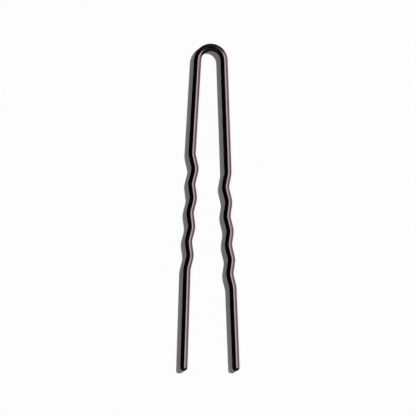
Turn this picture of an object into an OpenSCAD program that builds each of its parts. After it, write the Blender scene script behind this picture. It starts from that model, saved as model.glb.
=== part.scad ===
// Waved hair pin: one length of round spring wire, bent to a bow with two crimped legs, and lacquered.
// It lies flat, with X across the legs, +Y towards the bow and +Z up from the surface that it rests on.
// The origin is below the middle of the pin, on that surface.

/* [Wire] */
// Diameter of the bare steel wire
wire_d = 1.35; // [0.8:0.05:1.6]
// Thickness of the lacquer on the wire
lacquer_t = 0.045; // [0.02:0.005:0.1]

/* [Whole pin] */
// Length over all, from the top of the bow to the points
pin_length = 65; // [63:1:85]
// Radius of the bow, at the middle of the wire
bow_r = 2.62; // [2:0.02:4]

/* [Left leg] */
// Length of the straight upper shank, from the bow to the first crimp
left_upper_length = 18.4; // [15:0.2:20]
// Outward slant of the upper shank
left_upper_slant = 3.4; // [1:0.1:6]
// Outward slant of the row of crimps
left_crimp_slant = 3.3; // [1:0.1:6]
// Outward slant of the straight lower shank
left_lower_slant = 1.8; // [0:0.1:5]
// Angle of the first flank, which sets the crimps in from the line of the upper shank
left_first_flank = 16.6; // [11:0.2:20]

/* [Right leg] */
// Length of the straight upper shank, from the bow to the first crimp
right_upper_length = 22.2; // [18:0.2:24]
// Outward slant of the upper shank
right_upper_slant = 2.0; // [0:0.1:6]
// Outward slant of the row of crimps
right_crimp_slant = 2.9; // [0:0.1:6]
// Outward slant of the straight lower shank
right_lower_slant = 2.2; // [0:0.1:5]
// Angle of the first flank, which sets the crimps in from the line of the upper shank
right_first_flank = 14.2; // [11:0.2:20]

/* [Crimps] */
// Number of crimps on each leg
crimp_count = 4; // [2:1:5]
// Angle of a crimp's flanks to the line of the row
crimp_flank = 11; // [8:0.5:14]
// Length of the straight wire in a flank, between two bends
crimp_straight = 1.75; // [1.2:0.05:1.9]
// Radius of a crimp's bends, at the middle of the wire
crimp_bend_r = 3; // [2.4:0.1:3.4]

/* [Flexing] */
// Distance from the bow to the point that a leg turns about when the wire flexes
flex_below_bow = 7; // [4:0.5:12]
// How much rounder the knuckle at that point is than the wire
knuckle_margin = 0.1; // [0.05:0.05:0.3]
// Running gap between the knuckle and its seat
knuckle_gap = 0.02; // [0.01:0.01:0.1]

/* [Hidden] */
$fn = 96;
steel = [0.66, 0.66, 0.68];
lacquer = [0.15, 0.08, 0.08];
wire_r = wire_d / 2;
pin_r = wire_r + lacquer_t;
knuckle_r = pin_r + knuckle_margin;
seat_r = knuckle_r + knuckle_gap;
// Cutters reach this far beyond what they cut
spare = 1;
// A ball at each end of a run joins it to its bends: it is this much rounder than the wire,
// or than the lacquer, which levels it, and the run stops this short of the ball's centre
wire_bead = 0.004;
lacquer_bead = 0.003;
ball_seam = 0.02;

// Radius of the balls for wire of radius r, bare or lacquered
function ball_r(r) = r + (r > wire_r ? lacquer_bead : wire_bead);

// Height of the bow's centre above the middle of the pin, and depth of the points' centres below it
bow_y = pin_length / 2 - pin_r - bow_r;
point_depth = pin_length / 2 - ball_r(pin_r);
// Height of the wire's centre line above the surface that the pin lies on
axis_z = ball_r(pin_r);

// A path is a list of straight runs, each with its outward heading and its length, joined by bends.
// Places along it are counted from the bow's centre, [outward, up the pin].
function crimped_path(upper_length, upper_slant, slant, first_flank) = [
    [upper_slant, upper_length],
    for (i = [0 : crimp_count - 1]) each [
        [slant - (i == 0 ? first_flank : crimp_flank), crimp_straight],
        [slant + crimp_flank, crimp_straight]
    ]
];
// How far a bend goes outward and up, from one heading to the next
function bend_step(from, to) =
    crimp_bend_r * sign(to - from) * [cos(from) - cos(to), sin(from) - sin(to)];
function run_start(path, i) = i == 0
    ? bow_r * [cos(path[0][0]), sin(path[0][0])]
    : run_end(path, i - 1) + bend_step(path[i - 1][0], path[i][0]);
function run_end(path, i) =
    run_start(path, i) + path[i][1] * [sin(path[i][0]), -cos(path[i][0])];
// The lower shank takes up what is left of the pin's length
function leg_path(crimped, lower_slant) =
    let (
        last = len(crimped) - 1,
        lower_start = run_end(crimped, last) + bend_step(crimped[last][0], lower_slant),
        lower_length = (bow_y + lower_start[1] + point_depth) / cos(lower_slant)
    )
    concat(crimped, [[lower_slant, lower_length]]);

left_path = leg_path(
    crimped_path(left_upper_length, left_upper_slant, left_crimp_slant, left_first_flank),
    left_lower_slant);
right_path = leg_path(
    crimped_path(right_upper_length, right_upper_slant, right_crimp_slant, right_first_flank),
    right_lower_slant);

// The pin's middle lies halfway between its two points
left_reach = run_end(left_path, len(left_path) - 1)[0];
right_reach = run_end(right_path, len(right_path) - 1)[0];
bow_x = (left_reach - right_reach) / 2;

// Straight run of wire along -Y from the origin, with the balls that join it to what comes before and after
module run(length, r) {
    rotate([90, 0, 0]) {
        sphere(r = ball_r(r));
        translate([0, 0, ball_seam]) cylinder(r = r, h = length - 2 * ball_seam);
        translate([0, 0, length]) sphere(r = ball_r(r));
    }
}

// Arc of wire that starts along -Y at the origin and turns towards +X if the turn is positive
module bend(turn, bend_r, r) {
    mirror([turn < 0 ? 1 : 0, 0, 0]) translate([bend_r, 0, 0]) rotate([0, 0, 180])
        rotate_extrude(angle = abs(turn)) translate([bend_r, 0]) circle(r = r);
}

// Wire of radius r along a whole path, from the end of the bow to its round point
module wire_along(path, r) {
    for (i = [0 : len(path) - 1]) {
        if (i > 0)
            translate(run_end(path, i - 1)) rotate([0, 0, path[i - 1][0]])
                bend(path[i][0] - path[i - 1][0], crimp_bend_r, r);
        translate(run_start(path, i)) rotate([0, 0, path[i][0]]) run(path[i][1], r);
    }
}

// Stands its children at the end of the bow on the right, with -Y along the upper shank
module at_bow_end(slant) {
    rotate([0, 0, slant]) translate([bow_r, 0, 0]) children();
}

// Stands its children at the point that a leg turns about
module at_knuckle(slant) {
    at_bow_end(slant) translate([0, -flex_below_bow, 0]) children();
}

// Places what is drawn round the bow's centre in the pin's own frame, for the right side
module right_side() {
    translate([bow_x, bow_y, axis_z]) children();
}

// The same for the left side, as a mirror image
module left_side() {
    translate([bow_x, bow_y, axis_z]) mirror([1, 0, 0]) children();
}

// Everything above the knuckle that a leg leaves clear
module above_knuckle() {
    width = 2 * (knuckle_r + spare);
    difference() {
        translate([-width / 2, 0, -width / 2]) cube([width, flex_below_bow + spare, width]);
        cylinder(r = knuckle_r, h = width + spare, center = true);
    }
}

// Leg of wire radius r, from its knuckle to its point
module leg(path, r) {
    difference() {
        wire_along(path, r);
        at_knuckle(path[0][0]) above_knuckle();
    }
}

// The lacquer on a leg: what is left of the finished leg round its wire
module leg_coat(path) {
    difference() {
        leg(path, pin_r);
        wire_along(path, wire_r);
    }
}

// Bow of wire radius r with the tops of both upper shanks, down past the knuckles by an extra length
module bow_bar(r, extra) {
    right_side() {
        rotate([0, 0, right_upper_slant])
            rotate_extrude(angle = 180 - left_upper_slant - right_upper_slant)
                translate([bow_r, 0]) circle(r = r);
        at_bow_end(right_upper_slant) run(flex_below_bow + extra, r);
    }
    left_side() at_bow_end(left_upper_slant) run(flex_below_bow + extra, r);
}

// The seats that the two knuckles turn in
module knuckle_seats() {
    right_side() at_knuckle(right_upper_slant)
        cylinder(r = seat_r, h = 2 * (pin_r + spare), center = true);
    left_side() at_knuckle(left_upper_slant)
        cylinder(r = seat_r, h = 2 * (pin_r + spare), center = true);
}

module bow(r) {
    difference() {
        bow_bar(r, 0);
        knuckle_seats();
    }
}

module bow_wire() {
    color(steel) bow(wire_r);
}

module bow_lacquer() {
    color(lacquer) difference() {
        bow(pin_r);
        bow_bar(wire_r, spare);
    }
}

module left_leg_wire() {
    color(steel) left_side() leg(left_path, wire_r);
}

module left_leg_lacquer() {
    color(lacquer) left_side() leg_coat(left_path);
}

module right_leg_wire() {
    color(steel) right_side() leg(right_path, wire_r);
}

module right_leg_lacquer() {
    color(lacquer) right_side() leg_coat(right_path);
}

bow_wire();
bow_lacquer();
left_leg_wire();
left_leg_lacquer();
right_leg_wire();
right_leg_lacquer();
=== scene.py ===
"""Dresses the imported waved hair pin: drawn steel wire under stoved black-brown lacquer, on a white table."""

import math

import bmesh
import bpy
from mathutils import Matrix, Vector


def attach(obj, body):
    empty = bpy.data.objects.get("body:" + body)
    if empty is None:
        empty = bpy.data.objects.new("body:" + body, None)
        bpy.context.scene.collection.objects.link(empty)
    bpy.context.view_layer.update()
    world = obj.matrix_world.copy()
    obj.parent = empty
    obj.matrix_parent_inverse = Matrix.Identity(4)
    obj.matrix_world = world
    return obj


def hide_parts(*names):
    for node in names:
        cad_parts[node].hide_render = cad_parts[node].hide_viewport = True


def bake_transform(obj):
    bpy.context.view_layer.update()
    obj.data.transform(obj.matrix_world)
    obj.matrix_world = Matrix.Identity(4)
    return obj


bl_info = {
    "name": "Waved hair pin",
    "version": (1, 0, 0),
    "blender": (4, 5, 0),
    "location": "3D View > Sidebar > Hair pin",
    "description": "Builds the wire and the lacquer of a waved hair pin, and the table that it lies on",
    "category": "Object",
}

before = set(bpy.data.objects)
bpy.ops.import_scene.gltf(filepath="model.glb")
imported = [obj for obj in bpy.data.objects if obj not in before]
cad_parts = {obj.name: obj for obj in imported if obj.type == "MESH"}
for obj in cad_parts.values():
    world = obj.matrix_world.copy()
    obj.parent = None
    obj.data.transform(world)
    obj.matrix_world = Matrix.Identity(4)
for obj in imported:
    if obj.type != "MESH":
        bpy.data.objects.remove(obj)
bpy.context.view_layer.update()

MM = 0.001

# How finely the wire is drawn
RING_SIDES = 48
RUN_STEP = 1.0  # mm of straight wire between two rings
BEND_STEP = 3.0  # degrees of a bend between two rings
TIP_STEPS = 12  # rings in the rounding of a point

AXIS_HEIGHT = 0.723  # mm from the table to the middle of the wire

# Lengths in millimetres, and angles in degrees
LEGS = {
    "left": dict(
        side=-1, upper_length=18.4, upper_slant=3.4, crimp_slant=3.3, first_flank=16.6, lower_slant=1.8
    ),
    "right": dict(
        side=1, upper_length=22.2, upper_slant=2.0, crimp_slant=2.9, first_flank=14.2, lower_slant=2.2
    ),
}
RIGHT = LEGS["right"]

# The photograph's frame: millimetres that a pixel spans, and the point of the table in its middle
PHOTO_WIDTH = 416
PHOTO_MM_PER_PIXEL = 0.19854
PHOTO_CENTRE = (-0.373, -0.126)
CAMERA_LENS = 200  # mm, long enough to look nearly straight down everywhere
SENSOR_WIDTH = 36  # mm
NEAREST_SEEN, FARTHEST_SEEN = 0.01, 30  # metres from the camera

# The stage, in metres. Directions are azimuth, from +X towards +Y, and elevation in degrees.
TABLE_HALF_WIDTH = 10.0
BACKDROP_RADIUS = 9.5
BACKDROP_HEIGHT = 1.0
BACKDROP_SIDES = 128
KEY_DIRECTION = (34.5, 44.6)
KEY_STRENGTH = 3.98
KEY_ANGLE = 3.8  # degrees across, which gives the shadow its narrow soft edge
WORLD_STRENGTH = 0.015
# Name, azimuth, elevation, distance, width and height, radiance and colour
FILL_LAMP = ("fill_box", 180, 80, 4.0, (1.2, 1.2), 5.0, "#ffffff")
GLOSS_LAMPS = (
    # The long highlight: an overhead box to the right of the camera, with cards from there downward
    ("overhead_box", 4, 62.5, 0.50, (0.34, 0.222), 9.0, "#ffffff"),
    ("overhead_rim", 6, 62.5, 0.51, (0.60, 0.226), 4.2, "#ffffff"),
    ("upper_card", 6, 41, 0.50, (0.44, 0.18), 6.5, "#ffffff"),
    ("side_card", 10, 16.5, 0.50, (0.58, 0.26), 3.3, "#ffcdd0"),
    ("low_card", 10, -18, 0.50, (0.54, 0.36), 2.4, "#ffddde"),
    # Dimmer cards give the gloss its form, on all sides but the left, where the photographed legs are black
    ("wide_card", 16, 16, 0.52, (1.35, 0.28), 1.0, "#ffffff"),
    ("near_card", 270, 40, 0.50, (0.80, 0.34), 0.48, "#ffd3d3"),
    ("far_card", 90, 40, 0.50, (0.80, 0.34), 0.48, "#ffd3d3"),
)


def linear(hex_colour):
    """An sRGB hex colour as linear red, green and blue."""
    parts = [int(hex_colour[i : i + 2], 16) / 255 for i in (1, 3, 5)]
    return [c / 12.92 if c <= 0.04045 else ((c + 0.055) / 1.055) ** 2.4 for c in parts]


class WireSizes(bpy.types.PropertyGroup):
    """The wire and its lacquer, the bow and the crimps."""

    pin_length: bpy.props.FloatProperty(
        name="Length", description="Length over all, from the top of the bow to the points",
        default=65 * MM, unit="LENGTH",
    )
    wire_diameter: bpy.props.FloatProperty(
        name="Wire", description="Diameter of the bare steel wire", default=1.35 * MM, unit="LENGTH"
    )
    lacquer_thickness: bpy.props.FloatProperty(
        name="Lacquer", description="Thickness of the lacquer", default=0.045 * MM, unit="LENGTH"
    )
    bow_radius: bpy.props.FloatProperty(
        name="Bow", description="Radius of the bow, at the middle of the wire",
        default=2.62 * MM, unit="LENGTH",
    )
    crimp_radius: bpy.props.FloatProperty(
        name="Crimp radius", description="Radius of a crimp's bends, at the middle of the wire",
        default=3.0 * MM, unit="LENGTH",
    )
    crimp_straight: bpy.props.FloatProperty(
        name="Crimp straight", description="Length of the straight wire in a crimp's flank",
        default=1.75 * MM, unit="LENGTH",
    )
    crimp_flank: bpy.props.FloatProperty(
        name="Crimp flank", description="Angle of a crimp's flanks to the line of the row",
        default=math.radians(11), unit="ROTATION",
    )
    crimp_count: bpy.props.IntProperty(
        name="Crimps", description="Number of crimps on each leg", default=4, min=2
    )
    seam_below_bow: bpy.props.FloatProperty(
        name="Seam", description="Distance from the bow to where a leg's piece starts",
        default=0.6 * MM, unit="LENGTH",
    )
    flex_below_bow: bpy.props.FloatProperty(
        name="Flexing point", description="Distance from the bow to the point that a leg turns about",
        default=7.0 * MM, unit="LENGTH",
    )


class LegShape(bpy.types.PropertyGroup):
    """One leg, from the bow to its point. Slants are outward, and the defaults are the right leg's."""

    side: bpy.props.IntProperty(
        name="Side", description="-1 for the left leg, 1 for the right leg",
        default=RIGHT["side"], min=-1, max=1,
    )
    upper_length: bpy.props.FloatProperty(
        name="Upper shank", description="Length of the straight upper shank",
        default=RIGHT["upper_length"] * MM, unit="LENGTH",
    )
    upper_slant: bpy.props.FloatProperty(
        name="Upper slant", description="Slant of the upper shank",
        default=math.radians(RIGHT["upper_slant"]), unit="ROTATION",
    )
    crimp_slant: bpy.props.FloatProperty(
        name="Row slant", description="Slant of the row of crimps",
        default=math.radians(RIGHT["crimp_slant"]), unit="ROTATION",
    )
    first_flank: bpy.props.FloatProperty(
        name="First flank", description="Angle of the first flank to the line of the row",
        default=math.radians(RIGHT["first_flank"]), unit="ROTATION",
    )
    lower_slant: bpy.props.FloatProperty(
        name="Lower slant", description="Slant of the lower shank",
        default=math.radians(RIGHT["lower_slant"]), unit="ROTATION",
    )


class Finish(bpy.types.PropertyGroup):
    """Colours of the lacquer, the steel and the table."""

    lacquer: bpy.props.FloatVectorProperty(
        name="Lacquer", description="Body colour of the lacquer", subtype="COLOR",
        default=linear("#030101"),
    )
    lacquer_thin: bpy.props.FloatVectorProperty(
        name="Thin lacquer", description="Body colour where the lacquer is thin", subtype="COLOR",
        default=linear("#070303"),
    )
    lacquer_sheen: bpy.props.FloatVectorProperty(
        name="Sheen", description="Tint that the pigment gives to the gloss", subtype="COLOR",
        default=linear("#ffe8e7"),
    )
    steel: bpy.props.FloatVectorProperty(
        name="Steel", description="Colour of the drawn steel", subtype="COLOR", default=linear("#b9babd")
    )
    table: bpy.props.FloatVectorProperty(
        name="Table", description="Colour of the table", subtype="COLOR", default=linear("#f7f7f7")
    )


def sizes():
    return bpy.context.scene.pin_wire


def legs():
    return {"left": bpy.context.scene.pin_left, "right": bpy.context.scene.pin_right}


def set_leg(leg, values):
    """Fills a leg's sizes from millimetres and degrees."""
    leg.side = values["side"]
    leg.upper_length = values["upper_length"] * MM
    for name in ("upper_slant", "crimp_slant", "first_flank", "lower_slant"):
        setattr(leg, name, math.radians(values[name]))


# The wire's course. Each leg is worked out as on the right, from the bow's centre, with +X outward.


def along(heading):
    """Direction of wire whose heading is counted from straight down the pin, towards +X."""
    return Vector((math.sin(heading), -math.cos(heading), 0))


def across(heading):
    """Direction to the left of wire that has this heading, seen from above."""
    return Vector((math.cos(heading), math.sin(heading), 0))


def bow_height(wire):
    """How far the bow's centre lies above the middle of the pin."""
    return wire.pin_length / 2 - wire.wire_diameter / 2 - wire.lacquer_thickness - wire.bow_radius


def crimped_runs(wire, leg):
    """Headings and lengths of a leg's straight runs, from the bow down to the last crimp."""
    runs = [(leg.upper_slant, leg.upper_length)]
    for i in range(wire.crimp_count):
        inward = leg.first_flank if i == 0 else wire.crimp_flank
        runs += [
            (leg.crimp_slant - inward, wire.crimp_straight),
            (leg.crimp_slant + wire.crimp_flank, wire.crimp_straight),
        ]
    return runs


def end_of(wire, runs):
    """Where the last of a leg's straight runs ends, with the bends between them."""
    at = wire.bow_radius * across(runs[0][0])
    for i, (heading, length) in enumerate(runs):
        at += length * along(heading)
        if i + 1 < len(runs):
            following = runs[i + 1][0]
            turn = math.copysign(1, following - heading)
            at += wire.crimp_radius * turn * (across(heading) - across(following))
    return at


def leg_runs(wire, leg):
    """All straight runs of a leg; the lower shank takes up what is left of the pin's length."""
    crimped = crimped_runs(wire, leg)
    lower_start = end_of(wire, crimped + [(leg.lower_slant, 0.0)])
    point_drop = bow_height(wire) + wire.pin_length / 2 - AXIS_HEIGHT * MM
    return crimped + [(leg.lower_slant, (lower_start.y + point_drop) / math.cos(leg.lower_slant))]


def bow_centre(wire, both):
    """Middle of the bow: the pin's middle lies halfway between its points."""
    left, right = (end_of(wire, leg_runs(wire, both[name])).x for name in ("left", "right"))
    return Vector(((left - right) / 2, bow_height(wire), AXIS_HEIGHT * MM))


def on_shank(wire, leg, centre, below):
    """Point on a leg's upper shank, at a distance below the bow."""
    at = wire.bow_radius * across(leg.upper_slant) + below * along(leg.upper_slant)
    return centre + Vector((leg.side * at.x, at.y, 0))


# Drawing a wire


def edges_between(verts):
    """The edges that join the vertices of one ring."""
    ring = set(verts)
    return [e for v in verts for e in v.link_edges if e.other_vert(v) in ring and e.verts[0] == v]


class Wire:
    """A tube that is drawn ring by ring. Each vertex keeps the place that it had on the straight wire."""

    def __init__(self, bm, radius, start, heading):
        self.bm, self.radius, self.at, self.heading = bm, radius, start.copy(), heading
        layers = bm.verts.layers.float_vector
        self.straight = layers.get("straight") or layers.new("straight")
        made = bmesh.ops.create_circle(bm, cap_ends=False, radius=radius, segments=RING_SIDES)
        self.ring = made["verts"]
        for v in self.ring:
            v[self.straight] = (v.co.x, v.co.y, 0.0)
        stand = Matrix.Rotation(heading, 4, "Z") @ Matrix.Rotation(math.radians(90), 4, "X")
        bmesh.ops.transform(bm, matrix=Matrix.Translation(start) @ stand, verts=self.ring)
        self.first = list(self.ring)

    def take(self, geom, travel):
        """Goes on to the new ring of an extrusion or a turn, further along the wire by a travel."""
        self.ring = [g for g in geom if isinstance(g, bmesh.types.BMVert)]
        for v in self.ring:
            x, y, s = v[self.straight]
            v[self.straight] = (x, y, s + travel)

    def run(self, length):
        """Straight wire."""
        steps = max(1, round(length / (RUN_STEP * MM)))
        move = length / steps * along(self.heading)
        for _ in range(steps):
            made = bmesh.ops.extrude_edge_only(self.bm, edges=edges_between(self.ring))
            self.take(made["geom"], length / steps)
            bmesh.ops.translate(self.bm, vec=move, verts=self.ring)
        self.at += length * along(self.heading)

    def bend(self, radius, heading):
        """A bend to a new heading."""
        turn = heading - self.heading
        side = math.copysign(1, turn)
        centre = self.at + radius * side * across(self.heading)
        steps = max(1, round(abs(math.degrees(turn)) / BEND_STEP))
        for _ in range(steps):
            made = bmesh.ops.spin(
                self.bm, geom=self.ring + edges_between(self.ring), cent=centre, axis=(0, 0, 1),
                angle=turn / steps, steps=1, use_merge=False, use_duplicate=False,
            )
            self.take(made["geom_last"], abs(turn) * radius / steps)
        self.at = centre - radius * side * across(heading)
        self.heading = heading

    def round_point(self):
        """The ball-shaped end, ring by ring to its pole."""
        ahead = along(self.heading)
        for i in range(1, TIP_STEPS + 1):
            before, after = (math.radians(90 * n / TIP_STEPS) for n in (i - 1, i))
            made = bmesh.ops.extrude_edge_only(self.bm, edges=edges_between(self.ring))
            forward = self.radius * (math.sin(after) - math.sin(before))
            self.take(made["geom"], forward)
            middle = self.at + self.radius * math.sin(before) * ahead
            shrink = math.cos(after) / math.cos(before) if i < TIP_STEPS else 0.0
            bmesh.ops.scale(
                self.bm, vec=(shrink,) * 3, space=Matrix.Translation(-middle), verts=self.ring
            )
            bmesh.ops.translate(self.bm, vec=forward * ahead, verts=self.ring)
        pole = self.at + self.radius * ahead
        bmesh.ops.pointmerge(self.bm, verts=self.ring, merge_co=pole)


def leg_mesh(leg, radii):
    """A leg as a solid wire, or as a coat if there are two radii, the outer one first."""
    wire, both = sizes(), legs()
    start = on_shank(wire, leg, bow_centre(wire, both), wire.seam_below_bow)
    (upper_slant, upper_length), *rest = leg_runs(wire, leg)
    bm, tops = bmesh.new(), []
    for radius in radii:
        drawn = Wire(bm, radius, start, leg.side * upper_slant)
        drawn.run(upper_length - wire.seam_below_bow)
        for heading, length in rest:
            drawn.bend(wire.crimp_radius, leg.side * heading)
            drawn.run(length)
        drawn.round_point()
        tops.append(drawn.first)
    close_ends(bm, [tops])
    return bm


def bow_mesh(radii):
    """The bow with the tops of both shanks, as a solid wire or as a coat."""
    wire, both = sizes(), legs()
    start = on_shank(wire, both["left"], bow_centre(wire, both), wire.seam_below_bow)
    bm, left, right = bmesh.new(), [], []
    for radius in radii:
        drawn = Wire(bm, radius, start, math.pi - both["left"].upper_slant)
        drawn.run(wire.seam_below_bow)
        drawn.bend(wire.bow_radius, both["right"].upper_slant)
        drawn.run(wire.seam_below_bow)
        left.append(drawn.first)
        right.append(drawn.ring)
    close_ends(bm, [left, right])
    return bm


def close_ends(bm, ends):
    """Caps each end of a wire, or joins a coat's outside to its inside there, with a sharp rim."""
    for rings in ends:
        edges = [edges_between(ring) for ring in rings]
        if len(rings) == 1:
            bmesh.ops.edgeloop_fill(bm, edges=edges[0])
        else:
            bmesh.ops.bridge_loops(bm, edges=edges[0] + edges[1])
        for e in edges[0] + edges[-1]:
            e.smooth = False
    bmesh.ops.recalc_face_normals(bm, faces=bm.faces)


def sort_faces(bm):
    """Extruding lists the faces in another order on each run, so they are sorted by their vertices."""
    bm.verts.index_update()
    count = len(bm.verts)
    bm.faces.sort(key=lambda face: face.verts[0].index * count + face.verts[1].index)


def add_object(name, bm, material):
    """Makes an object of a mesh, with its material."""
    sort_faces(bm)
    mesh = bpy.data.meshes.new(name)
    bm.to_mesh(mesh)
    bm.free()
    mesh.materials.append(material)
    made = bpy.data.objects.new(name, mesh)
    bpy.context.scene.collection.objects.link(made)
    return made


def add_piece(name, bm, material, replaced):
    """Adds a smooth piece of the pin in place of a CAD node."""
    for face in bm.faces:
        face.smooth = True
    piece = add_object(name, bm, material)
    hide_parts(replaced)
    return piece


def flex(piece, name):
    """Bakes the leg piece's placing into its mesh. The bow's centre is worked out but not used, and the shank
    is not bent about the flexing point.
    """
    wire, leg = sizes(), legs()[name]
    centre = bow_centre(wire, legs())
    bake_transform(piece)


# Finishes


def node(tree, kind, links=(), **settings):
    """Adds a node, sets its inputs and options, and links what comes into it."""
    made = tree.nodes.new(kind)
    for name, value in settings.items():
        if name in made.inputs:
            made.inputs[name].default_value = value
        else:
            setattr(made, name, value)
    for socket, source in dict(links).items():
        tree.links.new(source, made.inputs[socket])
    return made


def new_material(name):
    material = bpy.data.materials.new(name)
    material.use_nodes = True
    material.node_tree.nodes.clear()
    return material, material.node_tree


def rgba(colour):
    return (*colour, 1)


def spread(low, high):
    """Map Range settings that spread the usual values of a noise from low to high."""
    return {"From Min": 0.3, "From Max": 0.7, "To Min": low, "To Max": high}


def stoved_lacquer(finish):
    """Black-brown lacquer, dipped and stoved: a deep, nearly black body under a gloss that its
    red-brown pigment tints, with the faint orange peel that a dipped coat dries with."""
    material, tree = new_material("stoved_black_brown_lacquer")
    place = node(tree, "ShaderNodeTexCoord")
    at = node(tree, "ShaderNodeVectorMath", {0: place.outputs["Object"]}, operation="SCALE", Scale=1 / MM)
    # Thickness wanders over about 4 mm, as a draining coat's does
    drain = node(
        tree, "ShaderNodeTexNoise", {"Vector": at.outputs[0]}, Scale=1 / 4.0, Detail=2.0, Roughness=0.5
    )
    body = node(tree, "ShaderNodeMix", {0: drain.outputs["Fac"]}, data_type="RGBA")
    body.inputs[6].default_value = rgba(finish.lacquer)
    body.inputs[7].default_value = rgba(finish.lacquer_thin)
    # Orange peel: dimples 0.45 mm apart and about half a micrometre deep
    peel = node(
        tree, "ShaderNodeTexNoise", {"Vector": at.outputs[0]}, Scale=1 / 0.45, Detail=1.0, Roughness=0.4
    )
    dimples = node(
        tree, "ShaderNodeBump", {"Height": peel.outputs["Fac"]}, Strength=1.0, Distance=0.001 * MM
    )
    # Handling haze, 1.5 mm across, dulls the gloss a little here and there
    haze = node(
        tree, "ShaderNodeTexNoise", {"Vector": at.outputs[0]}, Scale=1 / 1.5, Detail=3.0, Roughness=0.6
    )
    dull = node(tree, "ShaderNodeMapRange", {"Value": haze.outputs["Fac"]}, **spread(0.15, 0.20))
    surface = node(
        tree, "ShaderNodeBsdfPrincipled",
        {
            "Base Color": body.outputs[2],
            "Roughness": dull.outputs["Result"],
            "Normal": dimples.outputs["Normal"],
        },
        **{"IOR": 1.5, "Specular Tint": rgba(finish.lacquer_sheen)},
    )
    node(tree, "ShaderNodeOutputMaterial", {"Surface": surface.outputs["BSDF"]})
    return material


def drawn_steel(finish):
    """Hard-drawn spring steel: a bright grey metal with fine lines along the wire, left by the die."""
    material, tree = new_material("drawn_spring_steel")
    place = node(tree, "ShaderNodeAttribute", attribute_name="straight")
    # Die lines 0.06 mm apart round the wire, 20 mm long
    lines = node(tree, "ShaderNodeVectorMath", {0: place.outputs["Vector"]}, operation="MULTIPLY")
    lines.inputs[1].default_value = (1 / (0.06 * MM), 1 / (0.06 * MM), 1 / (20 * MM))
    grain = node(
        tree, "ShaderNodeTexNoise", {"Vector": lines.outputs[0]}, Scale=1.0, Detail=2.0, Roughness=0.6
    )
    scored = node(
        tree, "ShaderNodeBump", {"Height": grain.outputs["Fac"]}, Strength=1.0, Distance=0.001 * MM
    )
    rough = node(tree, "ShaderNodeMapRange", {"Value": grain.outputs["Fac"]}, **spread(0.24, 0.4))
    surface = node(
        tree, "ShaderNodeBsdfPrincipled",
        {"Roughness": rough.outputs["Result"], "Normal": scored.outputs["Normal"]},
        **{"Metallic": 1.0, "Base Color": rgba(finish.steel)},
    )
    node(tree, "ShaderNodeOutputMaterial", {"Surface": surface.outputs["BSDF"]})
    return material


def matt_table(finish):
    """Matt white laminate: a plain pale diffuse sheet, so the pin's shadow shows its true shape."""
    material, tree = new_material("matt_white_laminate")
    surface = node(
        tree, "ShaderNodeBsdfPrincipled",
        **{"Roughness": 0.9, "Base Color": rgba(finish.table), "Specular IOR Level": 0.1},
    )
    node(tree, "ShaderNodeOutputMaterial", {"Surface": surface.outputs["BSDF"]})
    return material


def white_backdrop():
    """Plain white backdrop, evenly bright behind the pin when it is looked at from the side."""
    material, tree = new_material("plain_white_backdrop")
    glow = node(tree, "ShaderNodeEmission", Strength=1.0, Color=rgba(linear("#ffffff")))
    node(tree, "ShaderNodeOutputMaterial", {"Surface": glow.outputs[0]})
    return material


# The stage


def add_staging(name, bm, material):
    """Adds the table or the backdrop. The photographed lacquer is black on the side away from the lamps,
    so its gloss doesn't show them."""
    staging = add_object(name, bm, material)
    staging.visible_glossy = False


def sky(azimuth, elevation):
    """Direction from the pin, with the azimuth counted from +X towards +Y."""
    a, e = math.radians(azimuth), math.radians(elevation)
    return Vector((math.cos(a) * math.cos(e), math.sin(a) * math.cos(e), math.sin(e)))


def add_lamp(name, kind, towards):
    """A lamp that shines on the pin from a direction, as yet without strength."""
    lamp = bpy.data.objects.new(name, bpy.data.lights.new(name, kind))
    lamp.rotation_euler = towards.to_track_quat("Z", "Y").to_euler()
    bpy.context.scene.collection.objects.link(lamp)
    return lamp


def area_lamp(name, azimuth, elevation, distance, size, radiance, colour, lights=True, reflects=True):
    """A rectangular lamp that faces the pin. It lights what is matt, shows in what is glossy, or both."""
    towards = sky(azimuth, elevation)
    lamp = add_lamp(name, "AREA", towards)
    lamp.location = towards * distance
    lamp.data.shape = "RECTANGLE"
    lamp.data.size, lamp.data.size_y = size
    lamp.data.energy = radiance * math.pi * size[0] * size[1]
    lamp.data.color = linear(colour)
    lamp.visible_camera = False
    lamp.visible_diffuse = lights
    lamp.visible_glossy = reflects


def add_table():
    bm = bmesh.new()
    bmesh.ops.create_grid(bm, x_segments=1, y_segments=1, size=TABLE_HALF_WIDTH)
    add_staging("table", bm, matt_table(bpy.context.scene.pin_finish))


def add_backdrop():
    """A low round wall far behind the pin."""
    bm = bmesh.new()
    foot = bmesh.ops.create_circle(bm, cap_ends=False, radius=BACKDROP_RADIUS, segments=BACKDROP_SIDES)
    raised = bmesh.ops.extrude_edge_only(bm, edges=edges_between(foot["verts"]))["geom"]
    top = [g for g in raised if isinstance(g, bmesh.types.BMVert)]
    bmesh.ops.translate(bm, vec=(0, 0, BACKDROP_HEIGHT), verts=top)
    add_staging("backdrop", bm, white_backdrop())


def add_lamps():
    """A distant key gives the crisp shadow, a box above the pin lights the shadow a little, and the rest
    show only in the gloss."""
    key = add_lamp("key_lamp", "SUN", sky(*KEY_DIRECTION))
    key.data.energy, key.data.angle = KEY_STRENGTH, math.radians(KEY_ANGLE)
    key.visible_glossy = False
    area_lamp(*FILL_LAMP, reflects=False)
    for lamp in GLOSS_LAMPS:
        area_lamp(*lamp, lights=False)


def add_world():
    world = bpy.data.worlds.new("studio")
    world.use_nodes = True
    tree = world.node_tree
    tree.nodes.clear()
    dim = node(tree, "ShaderNodeBackground", Strength=WORLD_STRENGTH, Color=rgba(linear("#ffffff")))
    node(tree, "ShaderNodeOutputWorld", {"Surface": dim.outputs[0]})
    bpy.context.scene.world = world


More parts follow.
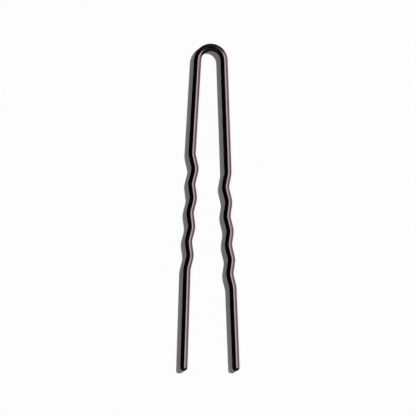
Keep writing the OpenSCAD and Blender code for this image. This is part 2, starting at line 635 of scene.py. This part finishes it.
def add_camera():
    """A camera straight above the pin, as far off as the photograph's width asks for."""
    data = bpy.data.cameras.new("photo_camera")
    data.lens, data.sensor_width = CAMERA_LENS, SENSOR_WIDTH
    data.clip_start, data.clip_end = NEAREST_SEEN, FARTHEST_SEEN
    camera = bpy.data.objects.new("photo_camera", data)
    x, y = PHOTO_CENTRE
    above = AXIS_HEIGHT + PHOTO_WIDTH * PHOTO_MM_PER_PIXEL * CAMERA_LENS / SENSOR_WIDTH
    camera.location = (x * MM, y * MM, above * MM)
    bpy.context.scene.collection.objects.link(camera)
    bpy.context.scene.camera = camera


# Operators


class HAIRPIN_OT_steel_wire(bpy.types.Operator):
    """Draws the steel wire inside the bow and both legs"""

    bl_idname = "hairpin.steel_wire"
    bl_label = "Steel wire"

    def execute(self, context):
        steel = drawn_steel(context.scene.pin_finish)
        radii = [sizes().wire_diameter / 2]
        bow = add_piece("steel_bow", bow_mesh(radii), steel, "bow_wire")
        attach(bow, "bow")
        for name, leg in legs().items():
            bm = leg_mesh(leg, radii)
            piece = add_piece("steel_" + name + "_leg", bm, steel, name + "_leg_wire")
            flex(piece, name)
        return {"FINISHED"}


class HAIRPIN_OT_lacquer(bpy.types.Operator):
    """Coats the bow and both legs with lacquer"""

    bl_idname = "hairpin.lacquer"
    bl_label = "Lacquer"

    def execute(self, context):
        lacquer = stoved_lacquer(context.scene.pin_finish)
        inside = sizes().wire_diameter / 2
        radii = [inside + sizes().lacquer_thickness, inside]
        bow = add_piece("lacquer_bow", bow_mesh(radii), lacquer, "bow_lacquer")
        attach(bow, "bow")
        for name, leg in legs().items():
            bm = leg_mesh(leg, radii)
            piece = add_piece("lacquer_" + name + "_leg", bm, lacquer, name + "_leg_lacquer")
            flex(piece, name)
        return {"FINISHED"}


class HAIRPIN_OT_stage(bpy.types.Operator):
    """Adds the table, the backdrop, the lamps and the camera straight above the pin"""

    bl_idname = "hairpin.stage"
    bl_label = "Table, lamps and camera"

    def execute(self, context):
        add_table()
        add_backdrop()
        add_lamps()
        add_world()
        add_camera()
        context.scene.view_settings.view_transform = "Standard"
        return {"FINISHED"}


class HAIRPIN_PT_panel(bpy.types.Panel):
    """Lists the pin's sizes, colours and pieces"""

    bl_idname = "HAIRPIN_PT_panel"
    bl_label = "Waved hair pin"
    bl_space_type = "VIEW_3D"
    bl_region_type = "UI"
    bl_category = "Hair pin"

    def draw(self, context):
        scene, layout = context.scene, self.layout
        for group in (scene.pin_wire, scene.pin_left, scene.pin_right, scene.pin_finish):
            box = layout.box()
            for name in group.bl_rna.properties.keys():
                if name not in ("rna_type", "name"):
                    box.prop(group, name)
        for operator in OPERATORS:
            layout.operator(operator.bl_idname)


OPERATORS = (HAIRPIN_OT_steel_wire, HAIRPIN_OT_lacquer, HAIRPIN_OT_stage)
CLASSES = (WireSizes, LegShape, Finish, *OPERATORS, HAIRPIN_PT_panel)


def register():
    for cls in CLASSES:
        bpy.utils.register_class(cls)
    bpy.types.Scene.pin_wire = bpy.props.PointerProperty(type=WireSizes)
    bpy.types.Scene.pin_left = bpy.props.PointerProperty(type=LegShape)
    bpy.types.Scene.pin_right = bpy.props.PointerProperty(type=LegShape)
    bpy.types.Scene.pin_finish = bpy.props.PointerProperty(type=Finish)


def unregister():
    for name in ("pin_wire", "pin_left", "pin_right", "pin_finish"):
        delattr(bpy.types.Scene, name)
    for cls in reversed(CLASSES):
        bpy.utils.unregister_class(cls)


def main():
    register()
    for name, leg in legs().items():
        set_leg(leg, LEGS[name])
    bpy.ops.hairpin.steel_wire()
    bpy.ops.hairpin.lacquer()
    bpy.ops.hairpin.stage()


if __name__ == "__main__":
    main()
